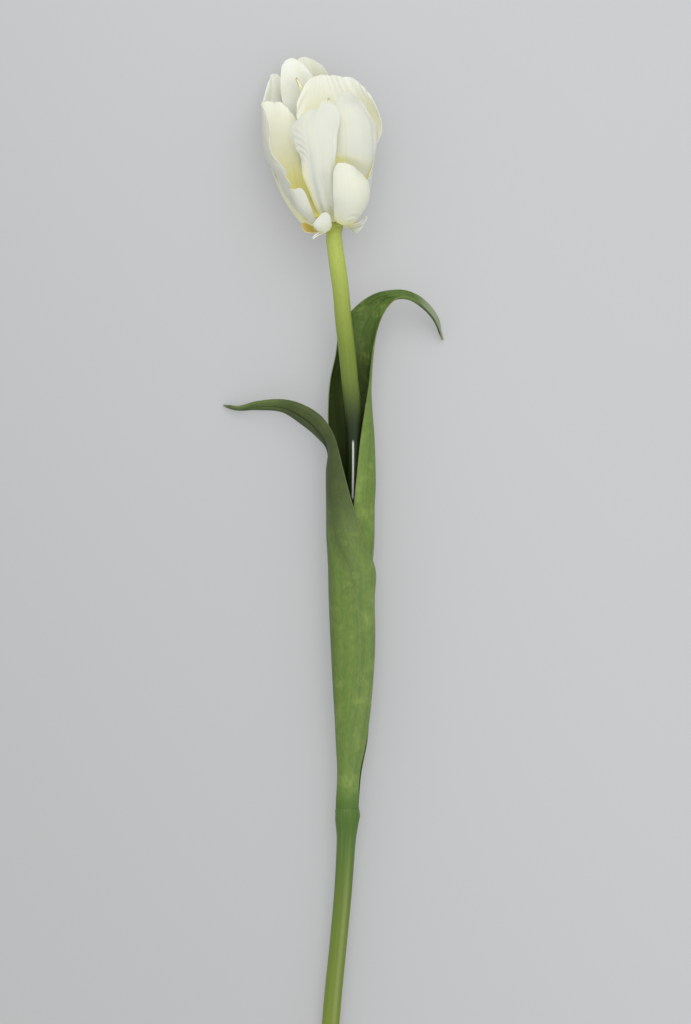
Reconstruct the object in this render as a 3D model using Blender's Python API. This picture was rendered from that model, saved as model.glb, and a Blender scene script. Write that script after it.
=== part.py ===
"""Parrot tulip: one cut stem with two leaves and a loose, ragged bloom.

The stem lies along +Y with the bloom at the +Y end and the floor at z = 0.
The origin is under the middle of the whole piece. Every blade is a thin sheet laid
through a row of cross sections, waved towards its edges and given a thickness.
"""
import math

import bpy
import numpy as np

MM = 0.001

# Driving sizes, in millimetres
BLOOM_BASE = (-0.2, 151.0, 22.8)
BLOOM_LEAN = math.radians(7.5)
BLOOM_RISE = math.radians(1.0)
PETAL_THICKNESS = 0.8
LEAF_THICKNESS = 1.0
FLOOR_BLEND = 0.6
STEM_SIDES = 16
PISTIL_SIDES = 12
STAMEN_SIDES = 8
STAMENS = 6
STAMEN_TURN = 50

# Colours of the slots
PETAL_WHITE = (0.86, 0.87, 0.76)
PETAL_YELLOW = (0.78, 0.74, 0.42)
STAMEN_GREEN = (0.55, 0.56, 0.22)
STEM_GREEN = (0.33, 0.44, 0.10)
LEAF_GREEN = (0.14, 0.24, 0.06)

# Centre line of the stem, as x, y, z and radius
STEM_LINE = [
    (-3.6, -219.7, 3.7, 3.7), (-0.6, -180.3, 5.4, 3.7), (1.9, -155.1, 6.5, 3.7),
    (4.0, -132.0, 7.6, 3.75), (5.2, -113.1, 8.5, 3.95), (5.6, -105.5, 8.9, 4.5),
    (5.8, -99.5, 9.2, 5.3), (5.9, -95.6, 9.3, 4.7), (6.0, -92.0, 9.4, 3.4),
    (6.1, -75.3, 10.0, 3.5), (6.4, -58.0, 10.6, 3.5), (6.4, -50.1, 10.9, 3.6),
    (6.9, -16.5, 11.5, 3.6), (7.8, 8.7, 12.2, 3.6), (8.6, 33.9, 13.2, 3.6),
    (8.8, 59.1, 14.8, 3.6), (8.2, 71.7, 16.0, 3.6), (6.9, 84.3, 17.4, 3.6),
    (5.7, 96.9, 19.0, 3.55), (4.2, 109.5, 20.6, 3.5), (3.1, 122.1, 22.0, 3.5),
    (1.7, 132.6, 23.1, 3.5), (0.4, 141.9, 23.9, 3.4), (0.1, 146.2, 24.3, 3.3),
]
# The receptacle the petals grow from, as height above the bloom base and radius
RECEPTACLE = [(-2.9, 3.8), (-1.7, 4.2), (-0.9, 3.4), (0.2, 2.7), (1.2, 2.1), (2.8, 1.7), (3.6, 1.0)]

# The pistil, as height and radius, and a stamen, as distance from the axis, height and radius
PISTIL = [(4.3, 1.1), (7, 1.5), (14, 2.1), (21, 1.9), (24, 1.5), (25.5, 2.6), (27.5, 2.9), (28.4, 1.6)]
STAMEN = [(2.1, 4.0, 0.4), (3.2, 9, 0.5), (4.2, 15, 0.5), (4.6, 17, 1.0), (4.9, 21, 1.3), (5.1, 25, 0.9), (5.2, 26, 0.5)]

# Rings the petals are rooted in, as radius and height
CORE = (2.7, 2.9)
HALF_PETAL = (2.9, 2.2)
INNER = (3.4, 1.1)
MIDDLE = (4.4, -0.3)
OUTER = (5.4, -1.0)
FRINGE = (5.4, -2.7)
# The outward bow of a petal's foot, and the flattest bow a section may have
FOOT_BULGE = 0.1
LEAST_BULGE = 0.02

# How fast ruffles grow towards a blade's side edges, and the width that takes them in full
FRILL_POWER = 3
FRILL_WIDTH = 12
# How squarely a raised tip falls off towards its corners
CROWN_POWER = 2.4


def spline(points, t):
    """Smooth curve through evenly spaced points; t runs from 0 to 1."""
    p = np.asarray(points, float)
    p = np.concatenate([2 * p[:1] - p[1:2], p, 2 * p[-1:] - p[-2:-1]])
    x = np.clip(t, 0, 1) * (len(p) - 3)
    i = np.minimum(x.astype(int), len(p) - 4)
    f = (x - i).reshape(np.shape(t) + (1,) * (p.ndim - 1))
    a, b, c, d = p[i], p[i + 1], p[i + 2], p[i + 3]
    return b + 0.5 * f * (c - a + f * (2 * a - 5 * b + 4 * c - d + f * (3 * b - a - 3 * c + d)))


def arc(x, y, z, radius, start, end):
    """Round section across the stem, from one angle to another; 0 is +X and 90 is up."""
    def points(t):
        angle = np.radians(start + (end - start) * (t + 1) / 2)
        return np.stack([x + radius * np.cos(angle), y + 0 * t, z + radius * np.sin(angle)], -1)
    return points


def bow(left, right, bulge, along):
    """Section bent to a circular bow between two edge points, bulging out of the bloom."""
    left, right, along = np.array(left, float), np.array(right, float), np.array(along, float)
    chord = right - left
    width = np.linalg.norm(chord)
    chord /= width
    out = np.cross(chord, along)
    out /= np.linalg.norm(out)
    half = 2 * math.atan2(2 * bulge, width)
    scale = 0.5 * width / math.sin(half)

    def points(t):
        across = np.sin(half * t)[:, None] * chord
        rise = (np.cos(half * t) - math.cos(half))[:, None] * out
        return (left + right) / 2 + scale * (across + rise)
    return points


def bows(left, right, bulge):
    """Bow sections for two edge lines and one bulge for each pair of points."""
    left, right = np.array(left, float), np.array(right, float)
    along = np.gradient((left + right) / 2, axis=0)
    return [bow(a, b, max(k, LEAST_BULGE), d) for a, b, k, d in zip(left, right, bulge, along)]


def root(azimuth, half, ring):
    """Left and right ends of a petal's foot on the receptacle."""
    radius, height = ring
    ends = [math.radians(azimuth - half), math.radians(azimuth + half)]
    return [(radius * math.sin(a), height, radius * math.cos(a)) for a in ends]


def sheet(sections, across, along, trim=(0, 0, 0), frill=(0, 0, 0), crown=0.0, peak=0.0):
    """Middle surface of a blade, as an (along + 1, across + 1, 3) grid.

    trim is depth, waves and phase of the notched top edge; frill is height, waves
    and phase of the ruffles on the side edges; crown lifts the middle of the top edge.
    """
    t = np.linspace(-1, 1, across + 1)
    u = np.linspace(0, 1, along + 1)[:, None] * np.ones(across + 1)
    depth, waves, phase = trim
    notch = depth * (0.5 + 0.5 * np.sin(waves * np.pi * t + phase) * np.cos(1.7 * waves * t + 2 * phase))
    reach = u * (1 - notch * (1 - (1 - u) ** 2))
    stack = np.stack([s(t) for s in sections])
    points = np.stack([spline(stack[:, j], reach[:, j]) for j in range(across + 1)], 1)
    tip = np.gradient(points, axis=0)
    tip /= np.linalg.norm(tip, axis=-1, keepdims=True)
    arch = 1 - (np.abs(t - peak) / (1 + abs(peak))) ** CROWN_POWER
    points = points + tip * (crown * arch * reach ** 3)[..., None]
    side = np.gradient(points, axis=1)
    out = np.cross(side, tip)
    out /= np.linalg.norm(out, axis=-1, keepdims=True)
    height, waves, phase = frill
    edge = np.abs(t) ** FRILL_POWER * np.clip(1.8 * u - 0.3, 0, 1) * np.clip(4 - 4 * u, 0.3, 1)
    lip = 0.5 * np.clip(5 * u - 4, 0, 1) ** 2 * (1 - t * t)
    wave = edge * np.sin(2 * np.pi * waves * u + phase + 1.3 * np.sign(t))
    wave = wave + lip * np.sin(np.pi * waves * t + phase)
    broad = np.linalg.norm(points[:, -1] - points[:, 0], axis=-1)[:, None]
    return points + out * (height * wave * np.clip(broad / FRILL_WIDTH, 0, 1))[..., None]


def to_world(points):
    """Bloom frame (right, along the axis, front) to the shared frame."""
    lean, rise = BLOOM_LEAN, BLOOM_RISE
    axis = np.array([-math.sin(lean) * math.cos(rise), math.cos(lean) * math.cos(rise), math.sin(rise)])
    right = np.array([math.cos(lean), math.sin(lean), 0.0])
    front = np.cross(right, axis)
    return np.array(BLOOM_BASE) + points @ np.stack([right, axis, front])


def settle(points, thickness):
    """Flatten a sheet where it rests on the floor."""
    above = points[..., 2] - thickness / 2
    eased = (above + FLOOR_BLEND) ** 2 / (4 * FLOOR_BLEND)
    rested = np.where(above < -FLOOR_BLEND, 0.0, np.where(above < FLOOR_BLEND, eased, above))
    points[..., 2] = rested + thickness / 2
    return points


def solid(name, points, thickness, colour, roughness=0.6):
    """Give a sheet its thickness and close it all round."""
    rows, cols = points.shape[:2]
    du = np.gradient(points, axis=0)
    dv = np.gradient(points, axis=1)
    normal = np.cross(dv, du)
    normal /= np.linalg.norm(normal, axis=-1, keepdims=True)
    outer = points + normal * thickness / 2
    inner = points - normal * thickness / 2
    for layer in (outer, inner):
        layer[..., 2] = np.maximum(layer[..., 2], 0.0)
    verts = np.concatenate([outer.reshape(-1, 3), inner.reshape(-1, 3)])
    shift = rows * cols
    index = np.arange(shift).reshape(rows, cols)
    a, b, c, d = index[:-1, :-1], index[:-1, 1:], index[1:, 1:], index[1:, :-1]
    front = np.concatenate([np.stack([a, b, c], -1).reshape(-1, 3), np.stack([a, c, d], -1).reshape(-1, 3)])
    back = front[:, ::-1] + shift
    loop = np.concatenate([index[0, :-1], index[:-1, -1], index[-1, :0:-1], index[:0:-1, 0]])
    after = np.roll(loop, -1)
    rim = np.concatenate([np.stack([loop, loop + shift, after + shift], -1),
                          np.stack([loop, after + shift, after], -1)])
    return add_mesh(name, verts, np.concatenate([front, back, rim]), colour, roughness)


def add_mesh(name, verts, faces, colour, roughness):
    """One named object with its own material."""
    mesh = bpy.data.meshes.new(name)
    mesh.from_pydata((verts * MM).tolist(), [], np.asarray(faces).tolist())
    mesh.update()
    material = bpy.data.materials.new(name + "_surface")
    material.use_nodes = True
    shader = material.node_tree.nodes["Principled BSDF"]
    shader.inputs["Base Color"].default_value = (*colour, 1.0)
    shader.inputs["Roughness"].default_value = roughness
    mesh.materials.append(material)
    mesh.shade_smooth()
    obj = bpy.data.objects.new(name, mesh)
    bpy.context.scene.collection.objects.link(obj)
    return obj


def tube(rings, sides):
    """Closed round bar through rings given as centre, radius and two cross directions."""
    turn = 2 * np.pi * np.arange(sides) / sides
    verts = [c + r * (np.cos(turn)[:, None] * e + np.sin(turn)[:, None] * f) for c, r, e, f in rings]
    count = len(rings)
    index = np.arange(count * sides).reshape(count, sides)
    a, b = index[:-1], np.roll(index, -1, 1)[:-1]
    c, d = np.roll(index, -1, 1)[1:], index[1:]
    faces = np.concatenate([np.stack([a, c, b], -1).reshape(-1, 3), np.stack([a, d, c], -1).reshape(-1, 3)])
    ends = np.array([rings[0][0], rings[-1][0]])
    low, high = count * sides, count * sides + 1
    first, last = index[0], index[-1]
    caps = np.concatenate([np.stack([first, np.roll(first, -1), np.full(sides, low)], -1),
                           np.stack([np.roll(last, -1), last, np.full(sides, high)], -1)])
    return np.concatenate([np.concatenate(verts), ends]), np.concatenate([faces, caps])


def along_line(line, sides):
    """Rings square to a centre line of x, y, z and radius."""
    line = np.array(line, float)
    direction = np.gradient(line[:, :3], axis=0)
    direction /= np.linalg.norm(direction, axis=1, keepdims=True)
    rings = []
    for centre, d in zip(line, direction):
        e = np.cross(d, (0.0, 0.0, 1.0))
        e /= np.linalg.norm(e)
        rings.append((centre[:3], centre[3], e, np.cross(e, d)))
    return tube(rings, sides)


def make_stem():
    """Stem with the swelling of the lower leaf's joint and the receptacle on top."""
    line = spline(STEM_LINE, np.linspace(0, 1, 2 * len(STEM_LINE) - 1))
    line[0, 2] = line[0, 3]
    heights = np.array([(0, h, 0) for h, r in RECEPTACLE], float)
    top = np.column_stack([to_world(heights), [r for h, r in RECEPTACLE]])
    verts, faces = along_line(np.vstack([line, top]), STEM_SIDES)
    verts[:, 2] = np.maximum(verts[:, 2], 0.0)
    return add_mesh("stem", verts, faces, STEM_GREEN, 0.4)


LOWER_LEAF = [
    arc(6.1, -92.4, 9.4, 4.4, -22, -335), arc(6.8, -81.6, 9.8, 4.9, -10, -330),
    arc(7.8, -66.9, 10.3, 6.6, -8, -338), arc(8.1, -50.1, 10.8, 7.8, -25, -358),
    arc(8.2, -29.1, 11.2, 9.1, -32, -370), arc(7.3, -8.1, 11.6, 9.3, -42, -364),
    arc(6.8, 4.5, 11.8, 9.5, -52, -348), arc(7.4, 17.1, 12.0, 10.2, -62, -303),
    arc(7.1, 31.8, 12.0, 10.0, -75, -276), arc(7.0, 45.7, 12.0, 10.0, -90, -255),
] + bows(
    [(-0.8, 54.6, 3.4), (-6.2, 60.0, 7.5), (-12.8, 65.6, 8.5), (-21.6, 71.5, 6.2),
     (-32.1, 72.6, 3.0), (-40.5, 72.6, 0.5), (-47.0, 74.0, -0.3)],
    [(0.4, 60.2, 19.5), (-4.8, 69.0, 17.5), (-12.8, 74.3, 14.5), (-21.6, 76.6, 11.0),
     (-32.1, 76.0, 7.2), (-40.5, 73.8, 4.8), (-46.6, 74.8, 2.8)],
    [2.9, 2.4, 2.0, 1.6, 1.0, 0.5, 0.2])

UPPER_LEAF = [
    arc(6.4, -49.3, 10.9, 4.6, 150, -170), arc(7.0, -39.6, 11.0, 5.3, 150, -172),
    arc(7.7, -24.9, 11.3, 6.5, 150, -180), arc(7.2, -8.1, 11.6, 7.2, 145, -185),
    arc(7.1, 4.5, 11.8, 7.0, 136, -190), arc(9.3, 17.1, 12.0, 7.4, 116, -195),
    arc(9.3, 31.8, 12.0, 7.9, 96, -195), arc(9.0, 42.3, 12.0, 8.4, 86, -190),
    arc(7.6, 59.1, 12.1, 9.2, 66, -184), arc(6.8, 71.7, 12.3, 9.2, 46, -182),
    arc(7.2, 84.3, 12.6, 8.7, 24, -184),
] + bows(
    [(16.2, 94.8, 17.5), (17.8, 104.1, 16.5), (20.4, 111.4, 16.0), (24.6, 117.2, 17.0),
     (28.8, 119.6, 18.0), (33.6, 118.8, 17.0), (38.6, 115.0, 13.5), (42.8, 109.8, 8.6),
     (45.9, 102.2, 3.6)],
    [(0.8, 94.8, 13.0), (2.7, 106.6, 11.5), (8.2, 114.8, 11.0), (15.3, 120.0, 13.0),
     (22.5, 122.4, 14.5), (30.3, 122.6, 13.0), (37.6, 119.4, 9.0), (43.8, 112.4, 4.0),
     (47.0, 102.2, 0.1)],
    [8.0, 6.0, 4.0, 3.0, 2.0, 1.6, 1.4, 0.9, 0.3])


def petal(name, foot, left, right, bulge, across, along, colour=PETAL_WHITE, **shape):
    """One petal from its foot, two edge lines in the bloom frame and a bulge for each pair."""
    foot_left, foot_right = root(*foot)
    sections = bows([foot_left] + left, [foot_right] + right, [FOOT_BULGE] + bulge)
    points = settle(to_world(sheet(sections, across, along, **shape)), PETAL_THICKNESS)
    return solid(name, points, PETAL_THICKNESS, colour)


def make_petals():
    """All petals, innermost first."""
    petal("petal_inner_right", (126, 40, CORE),
          [(11.0, 5.0, 1.6), (16.0, 15, 3.2), (22.4, 28, 4.2), (25.3, 40, 3.5), (22.6, 52.4, -1)],
          [(-4.6, 6.8, -7.8), (-8, 17, -10.5), (-9.6, 31, -10.5), (-9.4, 45, -7.5), (-6.8, 58.5, -5)],
          [4.6, 9.2, 11.2, 12, 9], 14, 12, crown=8.0, frill=(0.8, 3, 0.4), peak=-0.1)
    petal("petal_left", (240, 32, CORE),
          [(-6.5, 5.5, -9), (-8.5, 15, -13.5), (-9, 26, -16), (-9.2, 38, -15), (-9.4, 51.0, -12.5)],
          [(-9.5, 4, 7.5), (-14.4, 13, 12.5), (-15.9, 22, 13.1), (-21.6, 32.5, 8.8), (-19.2, 50.0, 3.4)],
          [3.6, 6.8, 8.6, 9.3, 9.6], 14, 12, crown=4.2, frill=(0.8, 3, 1.6))
    petal("petal_back_inner", (192, 20, INNER),
          [(3, 3.6, -11.8), (5.5, 17, -18.5), (6, 34, -19.5), (4.5, 51, -18), (-1, 66, -13)],
          [(-6.2, 4, -12), (-11.5, 18, -17.9), (-14.5, 34, -19.6), (-14.6, 53, -17), (-15, 64, -11.5)],
          [1.2, 1.6, 1.6, 2.4, 2.0], 10, 12, crown=4.8, frill=(0.5, 2, 2.0))
    petal("petal_front", (-9, 24, MIDDLE),
          [(-6.8, 6.5, 12.2), (-9.9, 18.5, 18.3), (-10.6, 29, 21), (-12.6, 38.8, 20.5), (-8.8, 45.8, 20.5)],
          [(3.6, 5.0, 14), (3.6, 18.5, 20.5), (5, 29, 22.8), (7.8, 39, 23.2), (9.0, 48.8, 22.4)],
          [1.2, 1.8, 2, 2, 1.6], 10, 12, crown=2.2, frill=(0.6, 3, 0.6), trim=(0.03, 2, 0.5))
    petal("petal_front_right", (42, 20, MIDDLE),
          [(4.0, 7, 10.5), (3, 19, 15.8), (3.6, 29, 18.4), (4.5, 40, 18.6), (6.4, 49, 17.8)],
          [(12.3, 6, 4.6), (17.2, 17, 5.4), (21.2, 28, 6.8), (22.4, 38, 7.6), (19.8, 46.5, 8)],
          [2, 3.8, 5, 5.3, 3.5], 10, 12, crown=3.4, frill=(0.6, 2.5, 2.2), peak=-0.3)
    petal("petal_back", (172, 20, MIDDLE),
          [(6, 2, -12.8), (9.5, 16, -20.4), (10, 33, -23.0), (9.5, 51, -21.8), (7, 63, -15)],
          [(-1, 2, -13.9), (-2.5, 16, -21.4), (-3.5, 33, -23.8), (-4.6, 51, -22.8), (-8.6, 69.8, -15.5)],
          [0.8, 1, 1, 1.2, 1.5], 10, 13, crown=4.0, frill=(0.5, 2, 1.0))
    petal("petal_left_back", (228, 20, MIDDLE),
          [(-5, 2, -14), (-8.2, 17, -21.2), (-9, 33, -23), (-9.5, 50, -22), (-12, 61.5, -18.5)],
          [(-12.5, 2.2, -5.4), (-20.2, 17, -5.8), (-24.7, 33, -9.0), (-24, 49, -12), (-20.3, 61.2, -11)],
          [2.4, 4.4, 4.0, 3.8, 2.5], 10, 12, crown=4.6, frill=(0.6, 3, 0.2), peak=-0.3)
    petal("petal_right_back", (122, 20, MIDDLE),
          [(10.9, 2, -4.4), (15.2, 13, -7.4), (19.4, 28, -9.4), (21.8, 40, -9.8), (19.5, 49, -11)],
          [(7.6, 2, -11.2), (12.5, 14, -18.3), (13.5, 29, -20.3), (13, 42, -20), (11.5, 51, -17)],
          [2, 3.4, 3.8, 3.6, 2.5], 9, 10, crown=2.5, frill=(0.6, 3, 2.6))
    petal("petal_low_right", (40, 20, OUTER),
          [(0.4, 0.6, 14.6), (1.0, 6.4, 21), (1.7, 13.4, 24), (3.0, 23.5, 24.2)],
          [(9.8, 1.4, 8.6), (14.2, 5.8, 10.7), (16.6, 12.6, 13.5), (13.2, 19.0, 17.5)],
          [3.6, 5.8, 6, 3.6], 9, 9, crown=1.2, frill=(0.4, 2, 0.2))
    petal("petal_low_left", (-54, 14, OUTER),
          [(-9.6, 1.2, 7), (-13.8, 7.6, 12), (-16.4, 16.2, 15.6)],
          [(-7, 1.6, 10.8), (-8.6, 7.6, 17), (-10.8, 15.5, 20)],
          [1.0, 2.0, 2.2], 6, 7, frill=(0.5, 2, 1.2))
    petal("petal_low_centre", (-16, 12, OUTER),
          [(-5.6, -3.4, 10), (-8.4, -1.4, 14.2), (-7.8, 3.0, 16)],
          [(-1.8, -3.8, 10.6), (-0.8, -1.2, 14.8), (-1.2, 3.6, 17)],
          [0.6, 0.9, 0.8], 6, 7, crown=0.5, frill=(0.3, 2, 0.2))
    petal("petal_low_cup", (-86, 12, OUTER),
          [(-9.4, -0.6, -2), (-12.2, 1.6, 1.6)],
          [(-7.2, -3.8, 3.4), (-10.0, -3.4, 7.6)],
          [1.2, 1.4], 5, 5, PETAL_YELLOW, crown=2.0)
    petal("petal_low_curl", (-36, 8, FRINGE),
          [(-4.8, -3.9, 7.2), (-7.4, -4.2, 8.6), (-9.9, -5.9, 7.4)],
          [(-3.8, -4.6, 7.4), (-6.6, -5.4, 9.0), (-9.4, -6.8, 7.8)],
          [0.2, 0.3, 0.2], 3, 7)
    petal("petal_right_lobe", (78, 14, OUTER),
          [(8.2, -1.6, 4.4), (12.2, -2.0, 6.2)],
          [(6.4, -3.0, 0.6), (8.4, -6.2, 3.4)],
          [0.8, 0.9], 5, 5, crown=2.4, frill=(0.3, 2, 0.6))
    petal("petal_right_curl", (60, 8, FRINGE),
          [(7.8, -2.4, 7.0), (11.2, -2.0, 8.2), (14.0, 0.6, 8.6)],
          [(7.4, -3.4, 6.6), (11.4, -3.2, 7.8), (14.7, -0.4, 8.6)],
          [0.2, 0.3, 0.2], 3, 7)


def make_heart():
    """Pistil, six stamens and the two slender half-petals inside the bloom."""
    petal("petaloid_left", (192, 9, HALF_PETAL),
          [(-1.6, 4.5, -11.6), (-2.4, 17, -16.2), (-3.0, 33, -16.6), (-4.2, 48, -14.6),
           (-5.0, 57, -11.6), (-7.0, 63, -10.4)],
          [(-3.2, 4.7, -11.6), (-4.0, 17, -16.0), (-4.6, 33, -16.4), (-5.8, 48, -14.4),
           (-6.4, 56.6, -11.4), (-7.9, 62.4, -10.2)],
          [0.2] * 6, 2, 12, PETAL_YELLOW)
    petal("petaloid_right", (20, 14, CORE),
          [(0.6, 10, 6.4), (1.8, 24, 7.0), (3.2, 39, 7.2), (4.3, 51.6, 6.6)],
          [(2.4, 10, 6.2), (3.6, 24, 6.8), (5.0, 39, 7.0), (5.4, 51.2, 6.4)],
          [0.2] * 4, 2, 10, PETAL_YELLOW)
    heights = np.array([(0, h, 0) for h, r in PISTIL], float)
    line = np.column_stack([to_world(heights), [r for h, r in PISTIL]])
    verts, faces = along_line(line, PISTIL_SIDES)
    add_mesh("pistil", verts, faces, STAMEN_GREEN, 0.5)
    for k in range(STAMENS):
        azimuth = math.radians(360 / STAMENS * k + STAMEN_TURN)
        reach = [(r * math.sin(azimuth), h, r * math.cos(azimuth)) for r, h, thick in STAMEN]
        line = np.column_stack([to_world(np.array(reach, float)), [thick for r, h, thick in STAMEN]])
        verts, faces = along_line(line, STAMEN_SIDES)
        add_mesh("stamen_%d" % (k + 1), verts, faces, STAMEN_GREEN, 0.6)


def make_leaves():
    """The two clasping leaves."""
    lower = sheet(LOWER_LEAF, 14, 32, frill=(0.2, 4, 0.4))
    solid("leaf_lower", settle(lower, 0.0), LEAF_THICKNESS, LEAF_GREEN, 0.5)
    upper = sheet(UPPER_LEAF, 14, 36, frill=(0.2, 5, 1.2))
    solid("leaf_upper", settle(upper, 0.0), LEAF_THICKNESS, LEAF_GREEN, 0.5)


for old in list(bpy.data.objects):
    bpy.data.objects.remove(old, do_unlink=True)
make_stem()
make_leaves()
make_petals()
make_heart()
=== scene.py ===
"""Parrot tulip lying on a pale floor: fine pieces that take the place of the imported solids.

Lengths are in millimetres until a mesh is written. A blade, such as a petal or a leaf, is a
surface of two numbers: u runs from its foot at 0 to its tip at 1, and t runs from its left
edge at -1 to its right edge at 1.
"""
import math

import bpy
import numpy as np
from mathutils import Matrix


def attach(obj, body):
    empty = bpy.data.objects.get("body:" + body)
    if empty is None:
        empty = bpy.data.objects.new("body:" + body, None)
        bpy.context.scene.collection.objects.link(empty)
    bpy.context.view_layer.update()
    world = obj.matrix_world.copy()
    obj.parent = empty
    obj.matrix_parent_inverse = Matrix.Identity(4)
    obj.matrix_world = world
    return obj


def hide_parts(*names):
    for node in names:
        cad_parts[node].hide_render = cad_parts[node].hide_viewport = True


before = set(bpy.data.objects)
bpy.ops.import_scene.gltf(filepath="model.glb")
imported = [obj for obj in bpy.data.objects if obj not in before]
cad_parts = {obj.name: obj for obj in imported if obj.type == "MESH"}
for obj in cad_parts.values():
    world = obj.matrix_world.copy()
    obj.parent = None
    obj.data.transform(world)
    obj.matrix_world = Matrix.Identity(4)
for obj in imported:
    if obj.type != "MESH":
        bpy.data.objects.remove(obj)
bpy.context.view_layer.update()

MM = 0.001

# The bloom: where its axis starts, how far it leans left and how far it rises
BLOOM_BASE = (-0.2, 151.0, 22.8)
BLOOM_LEAN = math.radians(7.5)
BLOOM_RISE = math.radians(1.0)

PETAL_THICKNESS = 0.5
LEAF_THICKNESS = 0.8

# A sheet starts to ease onto the floor this far above it
FLOOR_BLEND = 0.6

# Edges sharper than this many degrees aren't smoothed
SHARP_FROM = 50

# Sides round each bar
STEM_SIDES = 72
PISTIL_SIDES = 36
STAMEN_SIDES = 24

# Rings the petals are rooted in, as radius and height
CORE = (2.7, 2.9)
HALF_PETAL = (2.9, 2.2)
INNER = (3.4, 1.1)
MIDDLE = (4.4, -0.3)
OUTER = (5.4, -1.0)
FRINGE = (5.4, -2.7)

# A petal's bulge at its foot, and the least bulge that still bends a section
FOOT_BULGE = 0.1
LEAST_BULGE = 0.02

# How closely a frill keeps to the edge, and the width from which it has its full height
FRILL_POWER = 3
FRILL_WIDTH = 12

# How squarely the crown of a petal falls off towards its sides
CROWN_POWER = 2.4

# Waves are divided by these so that they stay within about -1 to 1
RIPPLE_SUM = 3.2
SWELL_SUM = 3.4

# Points along the stem, its receptacle, and the pistil and each stamen
STEM_ROWS = 380
RECEPTACLE_ROWS = 25
HEART_ROWS = 70

# Centre line of the stem, as x, y, z and radius
STEM_LINE = [
    (-3.6, -219.7, 3.7, 3.7), (-0.6, -180.3, 5.4, 3.7), (1.9, -155.1, 6.5, 3.7),
    (4.0, -132.0, 7.6, 3.75), (5.2, -113.1, 8.5, 3.95), (5.6, -105.5, 8.9, 4.5),
    (5.8, -99.5, 9.2, 5.3), (5.9, -95.6, 9.3, 4.7), (6.0, -92.0, 9.4, 3.4),
    (6.1, -75.3, 10.0, 3.5), (6.4, -58.0, 10.6, 3.5), (6.4, -50.1, 10.9, 3.6),
    (6.9, -16.5, 11.5, 3.6), (7.8, 8.7, 12.2, 3.6), (8.6, 33.9, 13.2, 3.6),
    (8.8, 59.1, 14.8, 3.6), (8.2, 71.7, 16.0, 3.6), (6.9, 84.3, 17.4, 3.6),
    (5.7, 96.9, 19.0, 3.55), (4.2, 109.5, 20.6, 3.5), (3.1, 122.1, 22.0, 3.5),
    (1.7, 132.6, 23.1, 3.5), (0.4, 141.9, 23.9, 3.4), (0.1, 146.2, 24.3, 3.3),
]

# The receptacle on top of the stem, as height and radius
RECEPTACLE = [
    (-2.9, 3.8), (-1.7, 4.2), (-0.9, 3.4), (0.2, 2.7), (1.2, 2.1), (2.8, 1.7), (3.6, 1.0),
]

# The pistil as height and radius, and a stamen as distance from the axis, height and radius
PISTIL = [
    (4.3, 1.1), (7, 1.5), (14, 2.1), (21, 1.9), (24, 1.5), (25.5, 2.6), (27.5, 2.9), (28.4, 1.6),
]
STAMEN = [
    (2.1, 4.0, 0.4), (3.2, 9, 0.5), (4.2, 15, 0.5), (4.6, 17, 1.0), (4.9, 21, 1.3),
    (5.1, 25, 0.9), (5.2, 26, 0.5),
]

# How many stamens, and the degrees from the front at which the first one stands
STAMENS = 6
FIRST_STAMEN = 50


# Curves and surfaces


def step(x, low, high):
    """Smooth rise from 0 at low to 1 at high."""
    s = np.clip((x - low) / (high - low), 0, 1)
    return s * s * (3 - 2 * s)


def hump(x, middle, width):
    """Bell curve, 1 at its middle."""
    return np.exp(-((x - middle) / width) ** 2)


def ripple(x, seed):
    """Irregular smooth wave within about -1 to 1: five sines with seeded rates and phases."""
    draw = np.random.default_rng(seed)
    rates, phases = draw.uniform(0.6, 2.4, 5), draw.uniform(0, 2 * np.pi, 5)
    return sum(np.sin(r * x + p) for r, p in zip(rates, phases)) / RIPPLE_SUM


def swell(x, y, seed):
    """Irregular soft humps over two directions: six plane waves with seeded headings."""
    draw = np.random.default_rng(seed)
    turns, rates = draw.uniform(0, 2 * np.pi, 6), draw.uniform(0.7, 1.7, 6)
    phases = draw.uniform(0, 2 * np.pi, 6)
    waves = [np.sin(r * (x * np.cos(a) + y * np.sin(a)) + p)
             for a, r, p in zip(turns, rates, phases)]
    return sum(waves) / SWELL_SUM


def spline(points, t):
    """Smooth curve through evenly spaced points, of which t picks the share along, 0 to 1.

    Each stretch is a cubic whose slope at a point is half the step between its neighbours.
    Points on a grid have four axes, and then each place of the grid has its own curve.
    """
    p = np.asarray(points, float)
    p = np.concatenate([2 * p[:1] - p[1:2], p, 2 * p[-1:] - p[-2:-1]])
    x = np.clip(t, 0, 1) * (len(p) - 3)
    i = np.minimum(x.astype(int), len(p) - 4)
    f = x - i
    if p.ndim == 4:
        a, b, c, d = (np.take_along_axis(p, i[None, ..., None] + k, 0)[0] for k in range(4))
        f = f[..., None]
    else:
        a, b, c, d = p[i], p[i + 1], p[i + 2], p[i + 3]
        f = f.reshape(np.shape(t) + (1,) * (p.ndim - 1))
    return b + 0.5 * f * (c - a + f * (2 * a - 5 * b + 4 * c - d + f * (3 * b - a - 3 * c + d)))


def arc(x, y, z, radius, start, end):
    """Round section across the stem, from one angle to another; 0 is right and 90 is up."""
    def points(t):
        angle = np.radians(start + (end - start) * (t + 1) / 2)
        return np.stack([x + radius * np.cos(angle), y + 0 * t, z + radius * np.sin(angle)], -1)
    return points


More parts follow.
